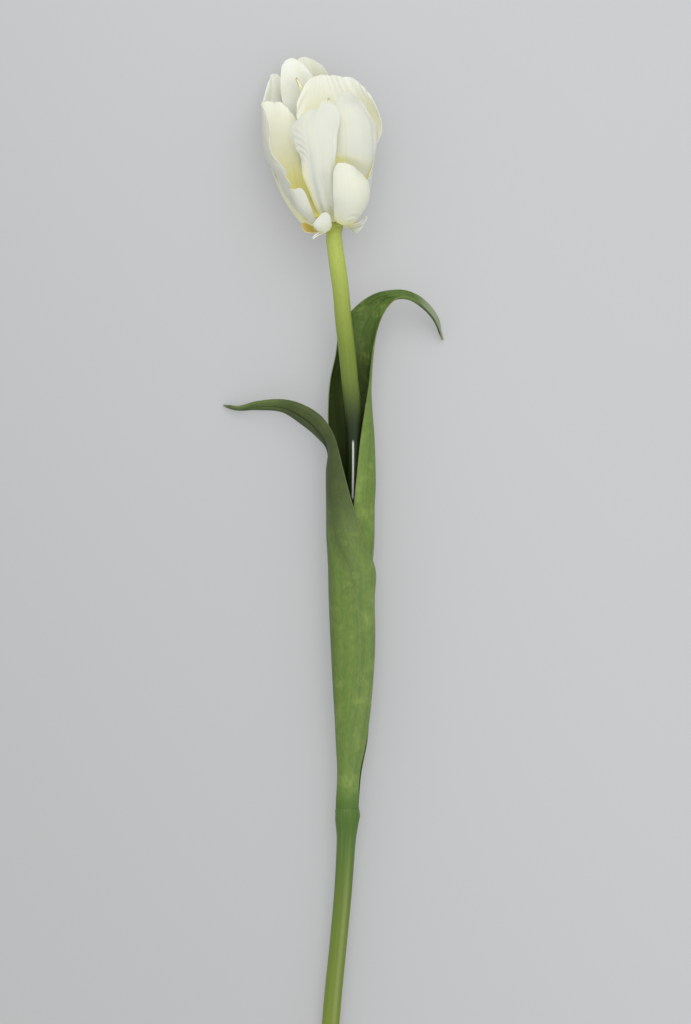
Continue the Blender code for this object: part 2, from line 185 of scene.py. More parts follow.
def bow(left, right, bulge, along):
    """Section bent to a circular bow between two edge points.

    bulge is how far its middle rises from the straight line between them, square to that
    line and to the direction along the blade.
    """
    left, right, along = np.array(left, float), np.array(right, float), np.array(along, float)
    chord = right - left
    width = np.linalg.norm(chord)
    chord /= width
    out = np.cross(chord, along)
    out /= np.linalg.norm(out)
    half = 2 * math.atan2(2 * bulge, width)
    scale = 0.5 * width / math.sin(half)

    def points(t):
        across = np.sin(half * t)[..., None] * chord
        rise = (np.cos(half * t) - math.cos(half))[..., None] * out
        return (left + right) / 2 + scale * (across + rise)
    return points


def bows(left, right, bulge):
    """Bow sections for two edge lines and one bulge for each pair of points."""
    left, right = np.array(left, float), np.array(right, float)
    along = np.gradient((left + right) / 2, axis=0)
    return [bow(a, b, max(k, LEAST_BULGE), d) for a, b, k, d in zip(left, right, bulge, along)]


def root(azimuth, half, ring):
    """Left and right ends of a petal's foot on the receptacle, 0 degrees being the front."""
    radius, height = ring
    ends = [math.radians(azimuth - half), math.radians(azimuth + half)]
    return [(radius * math.sin(a), height, radius * math.cos(a)) for a in ends]


def to_world(points):
    """Bloom frame (right, along the axis, front) to the shared frame."""
    lean, rise = BLOOM_LEAN, BLOOM_RISE
    flat = math.cos(rise)
    axis = np.array([-math.sin(lean) * flat, math.cos(lean) * flat, math.sin(rise)])
    right = np.array([math.cos(lean), math.sin(lean), 0.0])
    front = np.cross(right, axis)
    return np.array(BLOOM_BASE) + points @ np.stack([right, axis, front])


def settle(points, thickness):
    """Lift a sheet that would sink into the floor to lie on it, with a soft bend where it lands."""
    above = points[..., 2] - thickness / 2
    eased = (above + FLOOR_BLEND) ** 2 / (4 * FLOOR_BLEND)
    rested = np.where(above < -FLOOR_BLEND, 0.0, np.where(above < FLOOR_BLEND, eased, above))
    points[..., 2] = rested + thickness / 2
    return points


def unit(vectors):
    """The same directions at length 1."""
    return vectors / np.linalg.norm(vectors, axis=-1, keepdims=True)


def grid(across, along):
    """Two arrays, u and t, over a blade, with the steps across closer towards its edges."""
    even = np.linspace(-1, 1, across + 1)
    t = 0.6 * even + 0.4 * np.sin(np.pi / 2 * even)
    return np.meshgrid(np.linspace(0, 1, along + 1), t, indexing="ij")


def sheet(sections, u, t, trim=(0, 0, 0), frill=(0, 0, 0), crown=0.0, peak=0.0,
          top=None, sides=None, relief=None):
    """Middle surface of a blade: a smooth curve along u through its cross sections.

    trim notches the top edge, by depth, waves and phase. frill ruffles the side and top
    edges in a wave, by height, waves and phase. crown lifts the middle of the top edge, and
    peak is the t that it lifts most. top is the share of the length cut off at each t, sides
    is the share of the half width cut off at each u, and relief pushes the surface out.
    """
    depth, waves, phase = trim
    beat = np.sin(waves * np.pi * t + phase) * np.cos(1.7 * waves * t + 2 * phase)
    notch = depth * (0.5 + 0.5 * beat)
    if top is not None:
        notch = notch + top(t)
    reach = u * (1 - notch * (1 - (1 - u) ** 2))
    wide = t if sides is None else t * (1 - sides(u, np.sign(t)) * np.abs(t) ** 4)
    points = spline(np.stack([s(wide) for s in sections]), reach)
    tip = unit(np.gradient(points, axis=0))
    arch = 1 - (np.abs(t - peak) / (1 + abs(peak))) ** CROWN_POWER
    points = points + tip * (crown * arch * reach ** 3)[..., None]
    out = unit(np.cross(np.gradient(points, axis=1), tip))
    height, waves, phase = frill
    edge = np.abs(t) ** FRILL_POWER * np.clip(1.8 * u - 0.3, 0, 1) * np.clip(4 - 4 * u, 0.3, 1)
    lip = 0.5 * np.clip(5 * u - 4, 0, 1) ** 2 * (1 - t * t)
    wave = edge * np.sin(2 * np.pi * waves * u + phase + 1.3 * np.sign(t))
    wave = wave + lip * np.sin(np.pi * waves * t + phase)
    broad = np.linalg.norm(points[:, -1] - points[:, 0], axis=-1)[:, None]
    rise = height * wave * np.clip(broad / FRILL_WIDTH, 0, 1)
    if relief is not None:
        rise = rise + relief(u, t) * step(u, 0.02, 0.18)
    return points + out * rise[..., None]


# Meshes


def write_mesh(node, verts, faces, marks, material):
    """One piece that takes its node's place, with its marks kept as attributes of its points."""
    mesh = bpy.data.meshes.new(node + "_fine")
    mesh.from_pydata((verts * MM).tolist(), [], faces)
    for label, values in marks.items():
        layer = mesh.attributes.new(label, "FLOAT_VECTOR", "POINT")
        layer.data.foreach_set("vector", np.ascontiguousarray(values, np.float32).ravel())
    mesh.shade_smooth()
    mesh.set_sharp_from_angle(angle=math.radians(SHARP_FROM))
    mesh.materials.append(material)
    piece = bpy.data.objects.new(node + "_fine", mesh)
    bpy.context.scene.collection.objects.link(piece)
    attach(piece, "root")
    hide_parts(node)


def three(a, b, c):
    """Rows of three numbers, out of three arrays or numbers spread to one shape."""
    return np.stack(np.broadcast_arrays(a, b, c), -1).reshape(-1, 3)


def blade(node, points, u, t, thickness, tone, material):
    """Two faces of a sheet, thinner towards its edges, closed by a rim all round.

    The mark "blade" holds t, u and 1 on the outer face or 0 on the inner one. The mark
    "tone" holds what tone gives for the outer and for the inner face. No point lies under
    the floor.
    """
    rows, cols = u.shape
    normal = unit(np.cross(np.gradient(points, axis=1), np.gradient(points, axis=0)))
    margin = np.abs(t) ** 10
    ends = np.maximum(u ** 30, (1 - u) ** 60)
    half = thickness / 2 * (1 - 0.6 * np.maximum(margin, ends))
    outer = points + normal * half[..., None]
    inner = points - normal * half[..., None]
    for layer in (outer, inner):
        layer[..., 2] = np.maximum(layer[..., 2], 0.0)
    verts = np.concatenate([outer.reshape(-1, 3), inner.reshape(-1, 3)])
    shift = rows * cols
    index = np.arange(shift).reshape(rows, cols)
    corners = [index[:-1, :-1], index[:-1, 1:], index[1:, 1:], index[1:, :-1]]
    front = np.stack(corners, -1).reshape(-1, 4)
    loop = np.concatenate([index[0, :-1], index[:-1, -1], index[-1, :0:-1], index[:0:-1, 0]])
    after = np.roll(loop, -1)
    rim = np.stack([loop, loop + shift, after + shift, after], -1)
    where = [three(t, u, side) for side in (1.0, 0.0)]
    tones = [three(*tone(u, t, side)) for side in (1.0, 0.0)]
    marks = {"blade": np.concatenate(where), "tone": np.concatenate(tones)}
    faces = np.concatenate([front, front[:, ::-1] + shift, rim])
    write_mesh(node, verts, faces.tolist(), marks, material)


def bar(node, line, radii, sides, material, shape=None):
    """Round bar along a line, with both ends closed by rows that shrink to the middle.

    shape gives a factor on the radius for each share along and each turn, which runs from
    -1 to 1 with 0 at the top of the bar. The mark "blade" holds the turn, the share along,
    and how far each closing row is shrunk.
    """
    line = np.asarray(line, float)
    share = np.linspace(0, 1, len(line))
    direction = unit(np.gradient(line, axis=0))
    across = unit(np.cross(direction, (0.0, 0.0, 1.0)))
    upward = np.cross(across, direction)
    ends = np.array([0.02, 0.35, 0.7, 0.93])
    rows = len(line)
    pick = np.concatenate([np.zeros(len(ends), int), np.arange(rows), np.full(len(ends), rows - 1)])
    shrink = np.concatenate([ends, np.ones(rows), ends[::-1]])
    turn = np.linspace(-1, 1, sides + 1)[:-1]
    size = (np.asarray(radii)[pick] * shrink)[:, None] * np.ones(sides)
    if shape is not None:
        size = size * shape(share[pick][:, None], turn)
    cosine, sine = np.cos(np.pi * turn)[:, None], np.sin(np.pi * turn)[:, None]
    ring = cosine * upward[pick][:, None] + sine * across[pick][:, None]
    verts = line[pick][:, None] + size[..., None] * ring
    verts[..., 2] = np.maximum(verts[..., 2], 0.0)
    index = np.arange(len(pick) * sides).reshape(len(pick), sides)
    after = np.roll(index, -1, 1)
    walls = np.stack([index[1:], after[1:], after[:-1], index[:-1]], -1).reshape(-1, 4)
    foot = np.repeat(index.size, sides)
    first_cap = np.stack([after[0], foot, index[0]], -1)
    last_cap = np.stack([index[-1], foot + 1, after[-1]], -1)
    faces = walls.tolist() + first_cap.tolist() + last_cap.tolist()
    verts = np.concatenate([verts.reshape(-1, 3), line[:1], line[-1:]])
    marks = three(turn, share[pick][:, None], shrink[:, None])
    marks = np.concatenate([marks, [(0, 0, 0), (0, 1, 0)]])
    write_mesh(node, verts, faces, {"blade": marks}, material)


# Materials


class Shade:
    """One socket of a material's nodes. Arithmetic on it adds Math nodes.

    Lengths in Object coordinates are metres, so noise of scale 1000 has patches of 1 mm.
    """

    def __init__(self, tree, socket):
        self.tree = tree
        self.socket = socket

    def node(self, kind, settings, sockets, out=0):
        """Any node: its type, its settings first, then the values or links of its sockets."""
        made = self.tree.nodes.new("ShaderNode" + kind)
        for key, value in settings.items():
            if key == "stops":
                ramp = made.color_ramp
                while len(ramp.elements) < len(value):
                    ramp.elements.new(1.0)
                for element, (place, colour) in zip(ramp.elements, value):
                    element.position = place
                    element.color = (*colour, 1.0)
            else:
                setattr(made, key, value)
        for key, value in sockets.items():
            if isinstance(value, Shade):
                self.tree.links.new(value.socket, made.inputs[key])
            else:
                made.inputs[key].default_value = value
        return Shade(self.tree, made.outputs[out])

    def math(self, operation, a, b=0.0):
        """A Math node on two values."""
        return self.node("Math", {"operation": operation}, {0: a, 1: b})

    def __add__(self, other):
        return self.math("ADD", self, other)

    def __radd__(self, other):
        return self.math("ADD", other, self)

    def __sub__(self, other):
        return self.math("SUBTRACT", self, other)

    def __rsub__(self, other):
        return self.math("SUBTRACT", other, self)

    def __mul__(self, other):
        return self.math("MULTIPLY", self, other)

    def __rmul__(self, other):
        return self.math("MULTIPLY", other, self)

    def __abs__(self):
        return self.math("ABSOLUTE", self)

    def rise(self, low, high):
        """Smooth rise from 0 at low to 1 at high."""
        settings = {"interpolation_type": "SMOOTHSTEP"}
        return self.node("MapRange", settings, {0: self, 1: low, 2: high})

    def parts(self):
        """The three numbers of a vector."""
        split = self.node("SeparateXYZ", {}, {0: self})
        outputs = split.socket.node.outputs
        return [Shade(self.tree, outputs[k]) for k in range(3)]

    def join(self, x, y, z):
        """A vector of three numbers."""
        return self.node("CombineXYZ", {}, {0: x, 1: y, 2: z})

    def noise(self, scale, detail=2.0, rough=0.5):
        """Soft noise from 0 to 1, read at this vector."""
        sockets = {"Vector": self, "Scale": scale, "Detail": detail, "Roughness": rough}
        return self.node("TexNoise", {}, sockets)

    def mark(self, label):
        """The three numbers of one of the piece's marks."""
        return self.node("Attribute", {"attribute_name": label}, {}, "Vector").parts()

    def between(self, low, high):
        """The colour between two that this number picks, from 0 to 1."""
        return self.node("Mix", {"data_type": "RGBA"}, {0: self, 6: low, 7: high}, 2)

    def blend(self, factor, colour):
        """This colour, changed towards another by a factor."""
        return factor.between(self, colour)


def rgb(r, g, b):
    """A colour as its sockets take it."""
    return (r, g, b, 1.0)


def finish_of(name, **constants):
    """A new material, its shader with these constants, and its Object coordinates."""
    material = bpy.data.materials.new(name)
    material.use_nodes = True
    tree = material.node_tree
    shader = tree.nodes["Principled BSDF"]
    for key, value in constants.items():
        shader.inputs[key.replace("_", " ")].default_value = value
    place = Shade(tree, None).node("TexCoord", {}, {}, "Object")
    return material, shader, place


def feed(shader, colour, rough=None, height=None, depth=0.0001, glow=None):
    """Lead a colour, a roughness, a glow and a relief into the shader.

    The relief is a height from 0 to 1, and depth is what 1 stands for, in metres.
    """
    if height is not None:
        height = height.node("Bump", {}, {"Strength": 1.0, "Distance": depth, "Height": height})
    feeds = {"Base Color": colour, "Roughness": rough, "Normal": height, "Emission Color": glow}
    for label, value in feeds.items():
        if value is not None:
            value.tree.links.new(value.socket, shader.inputs[label])


def petal_finish(name, outer, inner):
    """Soft petal: an outer and an inner colour, with fine veins, soft clouds and grain.

    The tone mark holds how yellow-green, how much painted greyish shade and how dry the petal
    is at each point. The inner colour is brighter than the outer, partly painted light for the
    light that comes through the thin petal, and its yellow parts carry a painted glow for it.
    """
    material, shader, place = finish_of(
        name, Subsurface_Weight=0.5, Subsurface_Scale=0.003, Subsurface_Radius=(1.0, 0.95, 0.6),
        Specular_IOR_Level=0.2, Emission_Strength=0.28)
    t, u, side = place.mark("blade")
    yellow, painted_shade, dry = place.mark("tone")
    veins = place.join(t * 26.0, u * 2.2, side).noise(1.0, 3.0, 0.6)
    clouds = place.noise(120.0)
    grain = place.noise(900.0)
    mottle = (veins - 0.5) * 0.45 + (clouds - 0.5) * 0.35 + 0.14
    # The inner face's colour is the brighter one: partly painted light for light coming through the
    # petal
    colour = side.between(inner, outer)
    colour = colour.blend(mottle, rgb(0.74, 0.75, 0.54))
    # Painted shade: greyer where the tone mark asks for it
    colour = colour.blend(painted_shade * (0.85 + (veins - 0.5) * 0.9), rgb(0.395, 0.385, 0.375))
    colour = colour.blend(yellow * (0.9 + (veins - 0.5) * 0.6), rgb(0.72, 0.67, 0.22))
    colour = colour.blend(dry * (0.7 + grain * 0.5), rgb(0.26, 0.19, 0.06))
    # Painted glow: the yellow parts give a little light of their own, standing in for light through
    # the petal
    glow = yellow.between(rgb(0.0, 0.0, 0.0), rgb(0.47, 0.44, 0.15))
    relief = veins * 0.7 + grain * 0.3
    feed(shader, colour, 0.46 + grain * 0.12, relief, 0.00009, glow)
    return material


def leaf_finish():
    """Waxy leaf: parallel veins, fine mottling with paler patches, and a deep green foot.

    The tone mark holds how dark, how pale and how dry the leaf is at each point: the dark is
    mostly painted shade and the pale is partly painted light.
    """
    material, shader, place = finish_of(
        "leaf_finish", Specular_IOR_Level=0.22, Subsurface_Weight=0.05, Subsurface_Scale=0.001)
    t, u, side = place.mark("blade")
    deep, pale, dry = place.mark("tone")
    veins = place.join(t * 34.0, u * 3.0, side).noise(1.0, 3.0, 0.6)
    streaks = place.join(t * 7.0, u * 1.4, side * 5.0).noise(1.0)
    longer = place.node("Mapping", {}, {"Vector": place, "Scale": (1.0, 0.55, 1.0)})
    mottle = longer.noise(700.0, 3.0, 0.6)
    patches = place.noise(110.0, 3.0, 0.6).rise(0.50, 0.68) * mottle.rise(0.35, 0.6)
    foot = 1.0 - u.rise(0.0, 0.045)
    colour = side.between(rgb(0.080, 0.128, 0.026), rgb(0.140, 0.208, 0.040))
    colour = colour.blend(mottle.rise(0.42, 0.60) * 0.60, rgb(0.090, 0.175, 0.028))
    colour = colour.blend(veins.rise(0.50, 0.72) * 0.30, rgb(0.215, 0.285, 0.062))
    colour = colour.blend(streaks.rise(0.46, 0.70) * 0.50, rgb(0.085, 0.130, 0.036))
    colour = colour.blend(patches * 0.60, rgb(0.230, 0.310, 0.070))
    colour = colour.blend(foot * 0.85, rgb(0.060, 0.125, 0.013))
    # Pale nicks along the margins and a pale patch near the upper leaf's tip, and painted light
    # over the right part of the lower leaf
    colour = colour.blend(pale, rgb(0.290, 0.330, 0.220))
    # Mostly painted shade, with darker streaks, margins and midribs
    colour = colour.blend(deep, rgb(0.028, 0.034, 0.012))
    colour = colour.blend(dry, rgb(0.330, 0.290, 0.160))
    feed(shader, colour, 0.40 + mottle * 0.14, veins * 0.75 + mottle * 0.25, 0.00022)
    return material


# Colours along the stem, each with its place from 0 at the cut end to 1 under the bloom
# The stops from 0.58 to 0.73, where the stem lies inside the leaves, are darker with painted shade
STEM_COLOURS = [
    (0.00, (0.170, 0.215, 0.016)), (0.18, (0.118, 0.170, 0.014)),
    (0.275, (0.062, 0.125, 0.013)), (0.300, (0.045, 0.110, 0.010)),
    (0.335, (0.062, 0.128, 0.014)), (0.58, (0.050, 0.080, 0.010)),
    (0.73, (0.050, 0.085, 0.010)), (0.785, (0.100, 0.150, 0.016)),
    (0.83, (0.160, 0.215, 0.022)), (0.93, (0.400, 0.460, 0.090)),
    (1.00, (0.460, 0.510, 0.110)),
]

# How far the cut end lies from the frame's origin, in metres, and how much of the colours'
# run one metre takes
STEM_BELOW = 0.22
STEM_RUN = 2.6


def stem_finish():
    """Fleshy stem: olive at its foot, deep green at the joint, yellow-green under the bloom.

    Inside the leaves painted shade makes it nearly black, with a narrow pale streak on top,
    and its cut end is pale.
    """
    material, shader, place = finish_of(
        "stem_finish", Specular_IOR_Level=0.28, Subsurface_Weight=0.15,
        Subsurface_Scale=0.002, Subsurface_Radius=(0.8, 1.0, 0.3))
    turn, share, shrink = place.mark("blade")
    length = (place.parts()[1] + STEM_BELOW) * STEM_RUN
    ribs = place.join(turn * 16.0, share * 9.0, 0.0).noise(1.0, 3.0, 0.6)
    flecks = place.noise(850.0, 3.0, 0.6)
    sheen = (1.0 - abs(turn - 0.12).rise(0.0, 0.14)) * (1.0 - length.rise(0.20, 0.32))
    # Painted shade where the stem lies inside the leaves
    painted_leaf_shade = length.rise(0.56, 0.66) * (1.0 - length.rise(0.735, 0.80))
    streak = (1.0 - abs(turn + 0.05).rise(0.026, 0.044)) * length.rise(0.660, 0.664)
    streak = streak * (1.0 - length.rise(0.722, 0.727))
    pith = (1.0 - shrink.rise(0.90, 0.999)) * (1.0 - length.rise(0.0, 0.05))
    colour = length.node("ValToRGB", {"stops": STEM_COLOURS}, {0: length})
    colour = colour.blend((ribs - 0.5) * 0.5 + 0.12, rgb(0.250, 0.310, 0.090))
    colour = colour.blend(flecks.rise(0.5, 0.75) * 0.22, rgb(0.090, 0.130, 0.025))
    colour = colour.blend(sheen * 0.35, rgb(0.330, 0.360, 0.160))
    colour = colour.blend(painted_leaf_shade * 0.95, rgb(0.010, 0.018, 0.003))
    colour = colour.blend(streak * 0.75, rgb(0.66, 0.68, 0.62))
    colour = colour.blend(pith, rgb(0.42, 0.44, 0.24))
    feed(shader, colour, 0.34 + flecks * 0.14, ribs * 0.8 + flecks * 0.2, 0.00012)
    return material


def heart_finish(name, base, tip):
    """Pistil or stamen: a plain stalk that turns to a powdery head."""
    material, shader, place = finish_of(name, Subsurface_Weight=0.1)
    share = place.mark("blade")[1]
    powder = place.noise(2200.0, 2.0, 0.6)
    colour = share.rise(0.45, 0.62).between(base, tip)
    colour = colour.blend((powder - 0.4) * 0.5, rgb(0.25, 0.22, 0.06))
    feed(shader, colour, 0.5 + powder * 0.3, powder, 0.00015)
    return material


# Leaves


# Cross sections of each leaf from foot to tip: rings round the stem, then bows of the arch
LOWER_LEAF = [
    arc(5.9, -96.4, 9.3, 4.85, -22, -335), arc(6.8, -81.6, 9.8, 4.9, -10, -330),
    arc(7.8, -66.9, 10.3, 6.6, -8, -338), arc(8.1, -50.1, 10.8, 7.8, -25, -358),
    arc(8.2, -29.1, 11.2, 9.1, -32, -370), arc(7.7, -8.1, 11.6, 9.5, -42, -362),
    arc(7.8, 4.5, 11.8, 9.9, -48, -352), arc(7.4, 17.1, 12.0, 10.2, -62, -303),
    arc(7.1, 31.8, 12.0, 10.0, -75, -276), arc(7.0, 45.7, 12.0, 10.0, -90, -255),
] + bows(
    [(-0.8, 54.6, 3.4), (-6.2, 60.0, 7.5), (-12.8, 65.6, 8.5), (-21.6, 71.5, 6.2),
     (-32.1, 72.6, 3.0), (-40.5, 72.6, 0.5), (-47.0, 74.0, -0.3)],
    [(0.4, 60.2, 19.5), (-4.8, 69.0, 17.5), (-12.8, 74.3, 14.5), (-21.6, 76.6, 11.0),
     (-32.1, 76.0, 7.2), (-40.5, 73.8, 4.8), (-46.6, 74.8, 2.8)],
    [2.9, 2.4, 2.0, 1.6, 1.0, 0.5, 0.2])

UPPER_LEAF = [
    arc(6.4, -49.3, 10.9, 4.6, 150, -170), arc(7.0, -39.6, 11.0, 5.3, 150, -172),
    arc(7.7, -24.9, 11.3, 6.5, 150, -180), arc(7.6, -8.1, 11.6, 7.6, 145, -185),
    arc(8.0, 4.5, 11.8, 8.2, 136, -190), arc(9.4, 17.1, 12.0, 7.8, 116, -195),
    arc(9.3, 31.8, 12.0, 7.9, 96, -195), arc(9.0, 42.3, 12.0, 8.4, 86, -190),
    arc(7.6, 59.1, 12.1, 9.2, 66, -184), arc(6.8, 71.7, 12.3, 9.2, 46, -182),
    arc(7.2, 84.3, 12.6, 8.7, 24, -184),
] + bows(
    [(16.2, 94.8, 17.5), (17.8, 104.1, 16.5), (20.4, 111.4, 16.0), (24.6, 117.2, 17.0),
     (28.8, 119.6, 18.0), (33.6, 118.8, 17.0), (38.6, 115.0, 13.5), (42.8, 109.8, 8.6),
     (45.9, 102.2, 3.6)],
    [(0.8, 94.8, 13.0), (2.7, 106.6, 11.5), (8.2, 114.8, 11.0), (15.3, 120.0, 13.0),
     (22.5, 122.4, 14.5), (30.3, 122.6, 13.0), (37.6, 119.4, 9.0), (43.8, 112.4, 4.0),
     (47.0, 102.2, 0.1)],
    [8.0, 6.0, 4.0, 3.0, 2.0, 1.6, 1.4, 0.9, 0.3])


# The most that a leaf's painted shade and dark marks together cover its green
DEEPEST = 0.92


def lower_relief(u, t):
    """Midrib crease from halfway up almost to the tip, and soft irregular waves all over."""
    crease = -0.7 * hump(t, 0.0, 0.10) * step(u, 0.50, 0.66) * (1 - step(u, 0.93, 1.0))
    waves = 0.10 * ripple(9 * t, 3) + 0.16 * swell(5 * t, 16 * u, 4)
    return crease + waves * step(u, 0.05, 0.2)


def lower_tone(u, t, side):
    """Painted shade over its left half and over the arch from the bend on, a darker streak below
    the bend, and darker along the midrib.

    The margin is thin and dry with pale nicks, and so is the tip.
    """
    rim = step(np.abs(t), 0.965, 0.995)
    nicks = step(ripple(150 * u, 5) * step(u, 0.3, 0.5), 0.55, 0.8)
    # Painted shade over the arch, where it faces away from the light
    bend = step(u, 0.37, 0.55) * (1 - 0.55 * step(u, 0.77, 0.86))
    deep = 0.74 * bend * (1 - 0.35 * step(-t, -0.05, 0.15) * step(u, 0.60, 0.68))
    streak = 0.30 * hump(t, 0.42, 0.09) * hump(u, 0.38, 0.09)
    # Painted shade over the left half, away from the lamp
    painted_left_shade = 0.32 * (1 - step(t, 0.0, 0.26))
    midrib = 0.35 * hump(t, 0.02, 0.06) * step(u, 0.55, 0.68) * (1 - step(u, 0.90, 0.97))
    # The right part of the outer face is a little paler with painted light
    pale = 0.30 * rim * nicks + 0.06 * step(t, 0.3, 0.8) * side
    dry = 0.7 * step(u, 0.975, 0.998) + 0.15 * rim * (1 - nicks) * step(u, 0.3, 0.5)
    return np.clip(deep + streak + painted_left_shade + midrib, 0, DEEPEST), pale, dry


def upper_relief(u, t):
    """Low midrib ridge from halfway up almost to the tip, and soft irregular waves all over."""
    crease = 0.5 * hump(t, 0.0, 0.08) * step(u, 0.55, 0.7) * (1 - step(u, 0.93, 1.0))
    waves = 0.12 * ripple(9 * t, 13) + 0.2 * swell(5 * t, 16 * u, 14)
    return crease + waves * step(u, 0.05, 0.2)


def upper_tone(u, t, side):
    """Painted shade low on the leaf's inner face, and a paler patch beside a darker one near the
    tip of the arch.

    The margin is thin and dry with pale nicks, and so is the tip.
    """
    rim = step(np.abs(t), 0.965, 0.995)
    nicks = step(ripple(170 * u, 15) * step(u, 0.3, 0.5), 0.55, 0.8)
    # Painted shade low on the inner face, inside the leaf's own hollow, and a darker margin
    deep = 0.70 * (1 - side) * (1 - step(u, 0.42, 0.70)) + 0.2 * rim * (1 - nicks)
    deep = deep + 0.6 * step(u, 0.84, 0.90) * (1 - step(t, -0.45, -0.15))
    pale = 0.30 * rim * nicks + 0.85 * step(u, 0.86, 0.93) * step(t, -0.45, -0.1)
    dry = 0.6 * step(u, 0.98, 0.998) + 0.12 * rim * (1 - nicks)
    return np.clip(deep, 0, DEEPEST), pale, dry


def leaf_sides(u, sign):
    """Tiny nicks down both margins, and a tip that narrows to a point."""
    nicks = 0.010 * np.maximum(ripple(90 * u + 7 * sign, 21), 0) ** 3
    return nicks + 0.85 * step(u, 0.96, 1.0)


def make_leaves():
    """The two clasping leaves."""
    finish = leaf_finish()
    u, t = grid(72, 300)
    leaves = [
        ("leaf_lower", LOWER_LEAF, (0.2, 4, 0.4), lower_relief, lower_tone),
        ("leaf_upper", UPPER_LEAF, (0.2, 5, 1.2), upper_relief, upper_tone),
    ]
    for node, sections, frill, relief, tone in leaves:
        points = sheet(sections, u, t, frill=frill, sides=leaf_sides, relief=relief)
        blade(node, settle(points, 0.0), u, t, LEAF_THICKNESS, tone, finish)


# Petals


def petal_tone(inner, outer, extra=None):
    """Yellow-green towards the foot, as (strength, reach along u) for each face.

    extra gives what is added of yellow-green, painted greyish shade and dry.
    """
    def tone(u, t, side):
        strength, reach = outer if side else inner
        yellow, painted_shade, dry = extra(u, t, side) if extra is not None else (0.0, 0.0, 0.0)
        yellow = strength * (1 - step(u, 0.15 * reach, reach)) + yellow
        return np.clip(yellow, 0, 1), np.clip(painted_shade, 0, 1), np.clip(dry, 0, 1)
    return tone


PLAIN_TONE = petal_tone((0.6, 0.5), (0.3, 0.25))


def petal(node, foot, left, right, bulge, finish, seed, size=(80, 112), ragged=1.0,
          relief=None, tone=PLAIN_TONE, top=None, sides=None, slot="petal", **shape):
    """One petal from its foot, two edge lines in the bloom frame and a bulge for each pair.

    Every margin is finely ragged: small waves of the cut along it, with sharper nicks
    where a second wave peaks. The corners of the top edge are rounded off, and every face
    swells a little. foot is the direction the petal grows in and half its width there, both
    in degrees, and its ring.
    """
    foot_left, foot_right = root(*foot)
    sections = bows([foot_left] + left, [foot_right] + right, [FOOT_BULGE] + bulge)
    u, t = grid(*size)

    def cut_top(t):
        fine = 0.005 * (1 + ripple(7 * t, seed)) + 0.006 * ripple(17 * t, seed + 50) ** 2
        corners = 0.10 * np.abs(t) ** 6
        return ragged * fine + corners + (top(t) if top is not None else 0)

    def cut_sides(u, sign):
        fine = 0.010 * (1 + ripple(18 * u + 9 * sign, seed))
        fine = fine + 0.016 * np.maximum(ripple(40 * u, seed + 60), 0.45)
        own = sides(u, sign) if sides is not None else 0
        return (ragged * (fine - 0.007) + own) * step(u, 0.12, 0.35)

    def swollen(u, t):
        soft = 0.38 * swell(3.0 * t, 5.5 * u, seed + 70)
        furrows = 0.03 * ripple(22 * t, seed + 80) * step(u, 0.2, 0.5)
        return soft + furrows + (relief(u, t) if relief is not None else 0)

    points = sheet(sections, u, t, top=cut_top, sides=cut_sides, relief=swollen, **shape)
    points = settle(to_world(points), PETAL_THICKNESS)
    blade(node, points, u, t, PETAL_THICKNESS, tone, finish)


def front_relief(u, t):
    """Short slanting furrows on the left shoulder, and flutes that deepen towards the foot.

    The right edge is raised above the middle of its length.
    """
    shoulder = hump(u, 0.74, 0.16) * step(-t, 0.35, 0.80)
    furrows = 0.24 * shoulder * np.sin(2 * np.pi * (13 * u + 4.4 * t) + 1.2 * np.sin(9 * u))
    flutes = 0.34 * (1 - step(u, 0.35, 0.75)) * np.cos(2 * np.pi * (1.35 * t + 0.10))
    edge = 0.5 * step(t, 0.75, 1.0) * step(u, 0.3, 0.6)
    return furrows + flutes + edge


def front_tone(u, t, side):
    """Cream along the lower left margin, painted greyish shade on the left shoulder, and a creamy
    foot.
    """
    margin = 0.55 * step(-t, 0.45, 1.0) * (1 - step(u, 0.40, 0.66))
    foot = 0.22 * (1 - step(u, 0.06, 0.26))
    painted_shade = 0.34 * hump(u, 0.74, 0.16) * step(-t, 0.35, 0.85)
    return margin + foot, painted_shade, 0.0


def front_top(t):
    """The left part of the top edge lies lower, with a small notch in the right part."""
    return 0.045 * (1 - step(t, 0.04, 0.10)) + 0.008 * hump(t, 0.45, 0.05)


def front_right_relief(u, t):
    """Drawn in below a slanting crease, with a folded flap at the top and a curl at the right."""
    line = 0.51 - 0.055 * t
    below = -1.7 * (1 - step(u - line, -0.08, 0.02)) * step(u, 0.1, 0.3)
    flap = 1.1 * hump(u, 0.97, 0.05) * hump(t, -0.35, 0.35)
    fold = -0.9 * hump(t, 0.62 - 0.3 * (u - 0.8), 0.10) * step(u, 0.55, 0.7)
    curl = 1.0 * hump(u, 0.80, 0.055) * step(t, 0.68, 0.95)
    return below + flap + fold + curl


def front_right_tone(u, t, side):
    """Yellow under the crease, and painted greyish shade beyond the fold and on the flap."""
    line = 0.49 - 0.055 * t
    yellow = 0.55 * hump(u, line - 0.02, 0.04) * step(-t, 0.2, 0.8) + 0.15 * hump(u, line, 0.06)
    beyond = 0.45 * step(t, 0.50, 0.60) * hump(u, 0.80, 0.14)
    flap = 0.3 * hump(u, 0.96, 0.04) * hump(t, -0.3, 0.4)
    return yellow, beyond + flap, 0.0


def low_right_relief(u, t):
    """Crescent folds near the foot of the cupped petal."""
    ring = np.hypot(1.25 * (u - 0.22), 0.55 * (t + 0.05))
    folds = 0.36 * hump(ring, 0.20, 0.035) + 0.2 * hump(ring, 0.29, 0.035)
    folds = folds - 0.16 * hump(ring, 0.245, 0.03)
    return folds * step(u, 0.1, 0.25) * step(t, -0.5, -0.1)


